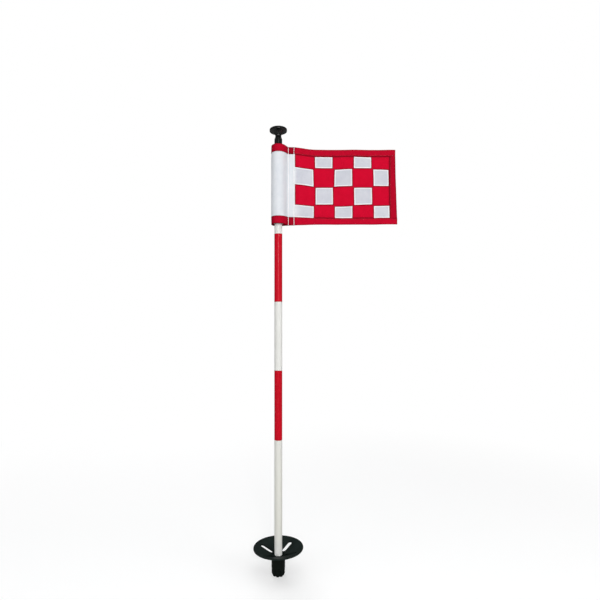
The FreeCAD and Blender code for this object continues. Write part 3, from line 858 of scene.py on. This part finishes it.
def square_grid(corners):
    """Grid of x, z and distance to the outline over one square."""
    hoist_top, fly_top, fly_bottom, hoist_bottom = [np.array(c, float) for c in corners]
    norm = np.linalg.norm
    width = 0.5 * (norm(fly_top - hoist_top) + norm(fly_bottom - hoist_bottom))
    height = 0.5 * (norm(hoist_bottom - hoist_top) + norm(fly_bottom - fly_top))
    across, down = np.meshgrid(edge_spacing(width) / width, edge_spacing(height) / height,
                               indexing="ij")
    points = (((1 - across) * (1 - down))[..., None] * hoist_top
              + (across * (1 - down))[..., None] * fly_top
              + (across * down)[..., None] * fly_bottom
              + ((1 - across) * down)[..., None] * hoist_bottom)
    inside = np.minimum(np.minimum(across * width, (1 - across) * width),
                        np.minimum(down * height, (1 - down) * height))
    return points[..., 0], points[..., 1], inside


def unfold_hoist_side(x, z, inside, corners):
    """Distance to the outline of a square that runs on from the strip: no fold on that side."""
    hoist_top, fly_top, fly_bottom, hoist_bottom = corners
    above = z - np.interp(x, *zip(hoist_bottom, fly_bottom))
    below = np.interp(x, *zip(hoist_top, fly_top)) - z
    open_side = x - STRIP_X < inside + 0.01
    return np.where(open_side, np.maximum(inside, np.minimum(above, below)), inside)


def square_rise(inside):
    """Height of a square's face over the ground, by distance from its outline."""
    rise = PATCH_THICK * np.sqrt(np.clip(1 - (1 - np.clip(inside / 0.55, 0, 1)) ** 2, 0, 1))
    rise += 0.15 * (1 - smooth(1.6, 3.0, inside)) * smooth(0.0, 0.5, inside)   # turned-under edge
    rise -= 0.09 * bell(inside - SQUARE_SEAM, 0.35)     # drawn in by the stitching
    rise += 0.12 * smooth(4.0, 11.0, inside)
    return np.maximum(rise, 0.0)


def white_squares():
    squares, stitches = Pieces(), Pieces()
    for corners in SQUARES:
        x, z, inside = square_grid(corners)
        attached = corners[0][0] == STRIP_X
        if attached:
            inside = unfold_hoist_side(x, z, inside, corners)
        rise = square_rise(inside)
        fold = 0.85 * (1 - smooth(1.0, 2.7, inside)) * smooth(0.1, 0.5, inside)
        middle = np.mean(corners, axis=0)
        seam = [np.array(c) + SQUARE_SEAM * np.sign(middle - np.array(c)) for c in corners]
        if attached:
            run_on = 15.0 if corners[0][1] < 770.0 else 5.0     # longer on the lower square
            start = STRIP_X + 0.2
            fold = np.maximum(fold, 0.45 * (1 - smooth(start, start + run_on, x)))
            seam[0][0] = seam[3][0] = STRIP_X + 1.3
        else:
            seam.append(seam[0])
        for face in (-1, 1):
            top = on_panel(x, z, face * (GROUND_HALF + rise))
            low = on_panel(x, z, face * (GROUND_HALF - 0.06))
            squares.add(*shell(top, low, pair(x, z), fold))
            for ends in zip(seam, seam[1:]):
                stitch_line(stitches, ends, face, radius=0.16,
                            offset_at=lambda x: GROUND_HALF + PATCH_THICK + 0.04)
    keep(squares.build("white_squares", WHITE_SINGLE), "nylon_white", "flag_squares")
    keep(stitches.build("square_stitching", THREAD_WHITE), "thread_white")


# ------------------------------------------------------------------ cloth: hems of the panel
def over_strip(x):
    """Extra half thickness where the hem also covers the white hoist strip."""
    return (STRIP_THICK + 0.02) * (1 - smooth(33.6, 36.0, x))


def hem_contour(height, inner_half, rows=16):
    """Outer and inner (offset, h) contours of a U fold: h runs from hem line to folded edge."""
    outer_half = inner_half + HEM_THICK
    rise = np.concatenate([[0.0, 0.12, 0.35, 0.9, 1.5, 1.8, 2.1, 2.8],
                           np.linspace(3.6, height - outer_half - 0.2, rows)])
    lift = np.interp(rise, [0, 0.12, 0.35], [0.55, 0.9, 1.0]) * HEM_THICK
    lift -= 0.11 * bell(rise - HEM_SEAM, 0.35)      # drawn in by the stitching
    lift += 0.06 * smooth(HEM_SEAM, 6.0, rise) * (1 - smooth(height - 4, height - 1, rise))
    arc = np.linspace(0, math.pi, 9)

    def contour(side, bend):
        return np.concatenate([
            pair(-side, rise),
            pair(-bend * np.cos(arc), height - outer_half + bend * np.sin(arc)),
            pair(side, rise)[::-1]])

    return contour(inner_half + lift, outer_half), contour(inner_half, inner_half)


def hem_tone_and_shade(outer, height):
    """Doubled cloth a little deeper all over, with painted shade darkest at the hem line, along the
    stitching and along the fold.
    """
    rise = outer[:, 1]
    return (0.27 + 0.55 * bell(rise, 0.9) + 0.30 * bell(rise - HEM_SEAM, 0.5)
            + 0.48 * bell(height - rise, 1.5))


def hem_piece(name, node, slices):
    """Red hem from slices of (outer points, inner points, uvs, tints)."""
    outer, inner, uvs, tints = (np.array(part) for part in zip(*slices))
    sheet = shell(outer, inner, uvs, np.clip(tints, 0, 1))
    keep(make_object(name, RED, *sheet), "nylon_red", node)


def edge_hem(name, node, line, edge, fly_z, lighter):
    """Hem along the top or bottom edge, ending on the slanted fly edge at height fly_z."""
    stations = np.concatenate([spaced(SEAM_X - 0.1, 40.0, 0.7)[:-1],
                               spaced(40.0, float(fly_x(fly_z)), 1.4)])
    slices = []
    for x in stations:
        edge_z, line_z = float(edge(x)), float(line(x))
        height, outward = abs(edge_z - line_z), (1 if edge_z > line_z else -1)
        outer, inner = hem_contour(height, GROUND_HALF + 0.01 + over_strip(x))
        # darker at the fly end and over the strip, with painted shade along the strip's edge
        darker = (0.25 * decay(stations[-1] - x, 1.2) + 0.40 * (1 - smooth(33.0, 35.2, x))
                  + 0.3 * bell(x - 34.6, 0.8))
        slices.append((on_panel(x, line_z + outward * outer[:, 1], outer[:, 0]),
                       on_panel(x, line_z + outward * inner[:, 1], inner[:, 0]),
                       pair(x, run_along(outer)),
                       hem_tone_and_shade(outer, height) + darker - lighter))
    hem_piece(name, node, slices)


# the fly hem lies between the other two
FLY_BOTTOM_Z, FLY_TOP_Z = float(hem_bottom(240)) + 0.05, float(hem_top(240)) - 0.05


def fly_hem():
    slices = []
    for z in spaced(FLY_BOTTOM_Z, FLY_TOP_Z, 1.4):
        height = float(fly_x(z)) - FLY_HEM_X
        outer, inner = hem_contour(height, GROUND_HALF + 0.01, rows=12)
        slices.append((on_panel(FLY_HEM_X + outer[:, 1], z, outer[:, 0]),
                       on_panel(FLY_HEM_X + inner[:, 1], z, inner[:, 0]),
                       pair(run_along(outer), z),
                       hem_tone_and_shade(outer, height) + 0.14))
    hem_piece("panel_hem_fly", "flag_hem_fly", slices)


def hem_stitching():
    lines = (
        [(x, hem_top(x) + HEM_SEAM) for x in spaced(36.0, 240.0, 3.0)],
        [(x, hem_bottom(x) - HEM_SEAM) for x in spaced(36.0, 244.5, 3.0)],
        [(FLY_HEM_X + HEM_SEAM, z) for z in spaced(FLY_BOTTOM_Z, FLY_TOP_Z, 3.0)],
    )
    stitches = Pieces()
    for face in (-1, 1):
        for line in lines:
            stitch_line(stitches, line, face, radius=0.15,
                        offset_at=lambda x: GROUND_HALF + HEM_THICK - 0.02 + float(over_strip(x)))
    keep(stitches.build("hem_stitching", THREAD_RED), "nylon_red")


# ------------------------------------------------------------------ cloth: sleeve round its tube
def sleeve_path():
    """Plan of the sleeve's middle surface: front tail, round the tube, back tail.

    Returns evenly spaced (x, y) points, their outward normals and the distance along.
    """
    step = 0.8
    tail = GROUND_HALF + STRIP_THICK / 2 + 0.01      # each tail's offset from the panel
    seam_y = float(plan_y(SEAM_X))
    middle = math.atan2(seam_y, SEAM_X)
    swing = math.acos((SLEEVE_RADIUS - tail) / math.hypot(SEAM_X, seam_y))
    front, back = middle - swing, middle + swing - TURN

    def seam_point(angle):
        return SEAM_X + tail * math.cos(angle), seam_y + tail * math.sin(angle)

    front_x = np.arange(STRIP_X, SEAM_X, -step)
    back_x = np.arange(SEAM_X + step, STRIP_X + 0.01, step)
    around = np.linspace(front, back, 90)
    points = np.vstack([pair(front_x, plan_y(front_x) - tail), seam_point(front),
                        SLEEVE_RADIUS * pair(np.cos(around), np.sin(around)),
                        seam_point(back), pair(back_x, plan_y(back_x) + tail)])
    run = run_along(points)
    distance = np.arange(0, run[-1], step)
    path = np.stack([soften(np.interp(distance, run, points[:, k]), 1.3,
                            mode="reflect", reflect_type="odd") for k in (0, 1)], -1)
    along = np.gradient(path, axis=0)
    along /= np.linalg.norm(along, axis=1)[:, None]
    return path, np.stack([-along[:, 1], along[:, 0]], -1), distance


PATH, PATH_NORMAL, PATH_RUN = sleeve_path()
PATH_X = PATH[:, 0]
WHOLE = np.arange(len(PATH))
LOOP = WHOLE[PATH_X < SEAM_X + 1.0]      # stations round the tube, up to the seam


def pinch(z):
    """The hems hold the sleeve's ends a little tighter."""
    return 0.42 * np.maximum(1 - smooth(0, 26, RIM_TOP - z), 1 - smooth(0, 26, z - RIM_BOTTOM))


def wrap_points(stations, z, offset):
    """Points of the sleeve at path stations and heights z, offset outward of its mid surface."""
    path = PATH[stations]
    x, y = path[:, 0], path[:, 1]
    round_tube = 1 - smooth(14.0, 19.0, x)
    angle = np.arctan2(y, x)
    # long soft creases, none where the cloth lies on the panel
    creases = sum(height * np.sin(count * angle + z / rise + phase)
                  for height, count, rise, phase in SLEEVE_WAVES)
    slack = (0.16 + creases * 0.6) * round_tube
    slack = slack * (1 - pinch(z) / 0.5) - pinch(z) * round_tube
    points = path + PATH_NORMAL[stations] * (offset + slack)[:, None]
    on_cloth = smooth(SEAM_X + 1.0, SEAM_X + 6.0, x)
    return np.stack([points[:, 0], points[:, 1] + on_cloth * relief(x, z), z], -1)


# Heights at each path station, from those round the tube to those of the panel.
HOLD = smooth(8.0, SEAM_X, PATH_X)
rim_top = RIM_TOP + (top_edge(SEAM_X) - RIM_TOP) * HOLD
rim_bottom = RIM_BOTTOM + (bottom_edge(SEAM_X) - RIM_BOTTOM) * HOLD
loop_top = LOOP_TOP + (hem_top(SEAM_X) - LOOP_TOP) * HOLD
loop_bottom = LOOP_BOTTOM + (hem_bottom(SEAM_X) - LOOP_BOTTOM) * HOLD


def sleeve_cloth():
    """White cloth of the sleeve and the hoist strip in one piece."""
    low, high = rim_bottom + 1.4, rim_top - 1.4
    heights = [low + (high - low) * share for share in spaced(0.0, 1.0, 0.01)]
    outer, inner = [np.array([wrap_points(WHOLE, z, offset) for z in heights])
                    for offset in (STRIP_THICK / 2, -STRIP_THICK / 2)]
    uvs = np.array([pair(PATH_RUN, z) for z in heights])
    # shaded beside the red rims
    tints = np.array([0.5 * decay(np.minimum(loop_top - z, z - loop_bottom), 0.8) * (PATH_X < 33.5)
                      for z in heights])
    sheet = shell(outer, inner, uvs, tints)
    keep(make_object("sleeve_cloth", WHITE, *sheet), "nylon_white", "flag_sleeve", "flag_hoist_strip")


def sleeve_rim(name, node, line, rim):
    """Red hem folded over one end of the sleeve."""
    line, rim = line[LOOP], rim[LOOP]
    height, outward = float(np.mean(np.abs(rim - line))), (1 if rim[0] > line[0] else -1)
    grow = np.abs(rim - line) / height
    outer, inner = hem_contour(height, STRIP_THICK / 2 + 0.02)
    loop_x = PATH_X[LOOP]
    # painted shade, darker toward the seam and on the far side of the tube (-X)
    darker = smooth(12.5, SEAM_X, loop_x) * 0.3 + 0.42 * (1 - smooth(-14.0, -4.0, loop_x))

    def ring(offset, rise):
        return wrap_points(LOOP, line + outward * rise * grow, -offset)

    parts = zip(outer, inner, run_along(outer), hem_tone_and_shade(outer, height))
    hem_piece(name, node, [(ring(*out), ring(*inside), pair(PATH_RUN[LOOP], run), tint + darker)
                           for out, inside, run, tint in parts])


def hoist_zigzag():
    """The two rows of close zigzag through the hoist, white on every layer."""
    stitches = Pieces()
    for row_x, half in ZIGZAG_ROWS:
        for face in (-1, 1):
            z, swing = bottom_edge(row_x) + 0.8, half
            while z < top_edge(row_x) - 1.3:
                next_z = z + ZIGZAG_STEP
                middle = 0.5 * (z + next_z)
                covered = middle > hem_top(row_x) or middle < hem_bottom(row_x)
                hem = HEM_THICK + 0.02 if covered else 0.0
                offset = face * (GROUND_HALF + STRIP_THICK + hem + 0.06)
                stitch(stitches, on_panel(row_x - swing, z, offset),
                       on_panel(row_x + swing, next_z, offset), face, radius=0.26)
                z, swing = next_z, -swing
    keep(stitches.build("hoist_zigzag", THREAD_WHITE), "thread_white", "hoist_stitches")


# ------------------------------------------------------------------ build the pieces
knob_head()
lift_disc()
joint_stud("lower", "middle_section")
joint_stud("upper", "upper_section")
knob_stud()

ground_cloth()
white_squares()
edge_hem("panel_hem_top", "flag_hem_top", hem_top, top_edge, fly_z=869.0, lighter=0.0)
edge_hem("panel_hem_bottom", "flag_hem_bottom", hem_bottom, bottom_edge, fly_z=728.0, lighter=0.08)
fly_hem()
hem_stitching()
sleeve_cloth()
sleeve_rim("sleeve_rim_top", "sleeve_hem_top", loop_top, rim_top)
sleeve_rim("sleeve_rim_bottom", "sleeve_hem_bottom", loop_bottom, rim_bottom)
hoist_zigzag()

for piece in cloth:
    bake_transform(piece)

# ------------------------------------------------------------------ stage (metres)
FLOOR_RADIUS, FLOOR_SEG = 9.0, 96


def floor_material():
    """To the camera a lit pale floor that runs out into white, to every other ray a dim one."""
    material = bpy.data.materials.new("stage_floor")
    graph = Graph(material)
    length = graph.add("VectorMath", {0: graph.coord()}, operation="LENGTH").outputs["Value"]
    far = graph.ramp(length, over=(0.35, 1.6), interpolation_type="SMOOTHSTEP")
    pale = graph.shader("BsdfDiffuse", colour=(0.66, 0.66, 0.66))
    glow = graph.shader("Emission", colour=(1, 1, 1), strength=0.36)
    lit = graph.add("AddShader", {0: pale, 1: glow}).outputs[0]
    white = graph.shader("Emission", colour=(1, 1, 1), strength=1.0)
    seen = graph.mix_shader(lit, white, by=far)
    dim = graph.shader("BsdfDiffuse", colour=(0.30, 0.30, 0.30))
    camera_ray = graph.add("LightPath").outputs["Is Camera Ray"]
    graph.add("OutputMaterial", {0: graph.mix_shader(dim, seen, by=camera_ray)})
    return material


def add_floor():
    angles = [TURN * k / FLOOR_SEG for k in range(FLOOR_SEG)]
    rim = [(FLOOR_RADIUS * math.cos(a), FLOOR_RADIUS * math.sin(a), 0.0) for a in angles]
    mesh = bpy.data.meshes.new("floor")
    mesh.from_pydata(rim, [], [tuple(range(FLOOR_SEG))])
    mesh.materials.append(floor_material())
    floor = bpy.data.objects.new("floor", mesh)
    scene.collection.objects.link(floor)


def add_world():
    """White to the camera; a soft sky for light and a darker one for reflections."""
    world = bpy.data.worlds.new("studio")
    scene.world = world
    graph = Graph(world)
    rays = graph.add("LightPath").outputs
    up = graph.xyz(graph.coord("Generated"))[2]
    soft = graph.ramp(up, over=(-0.3, 0.9), to=(0.20, 0.50))
    gloss = graph.ramp(up, over=(-0.2, 0.9), to=(0.05, 0.26))
    lit = graph.mix_shader(
        graph.shader("Background", colour=(0.975, 0.988, 1.0), strength=soft),
        graph.shader("Background", colour=(0.98, 0.99, 1.0), strength=gloss),
        by=rays["Is Glossy Ray"])
    white = graph.shader("Background", colour=(1, 1, 1), strength=1.0)
    graph.add("OutputWorld", {0: graph.mix_shader(lit, white, by=rays["Is Camera Ray"])})


def area(name, place, aim, power, size, colour=(1, 1, 1)):
    light = bpy.data.lights.new(name, "AREA")
    light.shape = "RECTANGLE"
    light.size, light.size_y = size
    light.energy = power
    light.color = colour
    lamp = bpy.data.objects.new(name, light)
    lamp.location = place
    lamp.rotation_mode = "QUATERNION"
    lamp.rotation_quaternion = (Vector(aim) - Vector(place)).to_track_quat("-Z", "Y")
    scene.collection.objects.link(lamp)
    return lamp


# Broad lights: name, place, aim, power (W), size.
BROAD_LIGHTS = (
    ("front", (-0.1, -2.1, 0.8), (0.05, 0, 0.45), 16.5, (1.6, 1.8)),
    ("right", (1.8, -1.0, 0.8), (0.05, 0, 0.45), 12, (1.0, 1.5)),
    ("left", (-1.7, -1.2, 0.7), (0.05, 0, 0.45), 7, (1.0, 1.5)),
    ("top", (0.2, -0.2, 2.4), (0.05, 0, 0.4), 8, (1.7, 1.7)),
    ("back", (-0.7, 1.9, 1.3), (0.05, 0, 0.45), 15, (1.4, 1.4)),
)


def add_lights():
    area("key", place=(0.22, -2.1, 1.12), aim=(0.03, 0, 0.62), power=13, size=(0.3, 0.6),
         colour=(1.0, 0.99, 0.97))
    # these shape the form but leave no reflection of themselves
    for light in BROAD_LIGHTS:
        area(*light).visible_glossy = False


def add_camera():
    """Level, at half height, close, with the pole left of the middle."""
    lens = bpy.data.cameras.new("camera")
    lens.sensor_width = 36.0
    lens.lens = 26.82
    lens.shift_x = 0.03616667
    lens.shift_y = 0.05166667
    lens.clip_start, lens.clip_end = 0.01, 50
    camera = bpy.data.objects.new("camera", lens)
    camera.location = (0.0, -0.918, 0.5)
    camera.rotation_euler = (math.radians(90), 0, 0)
    scene.collection.objects.link(camera)
    scene.camera = camera


add_floor()
add_world()
add_lights()
add_camera()
scene.view_settings.view_transform = "Standard"
scene.view_settings.look = "None"
scene.view_settings.exposure = 0.0
scene.view_settings.gamma = 1.0
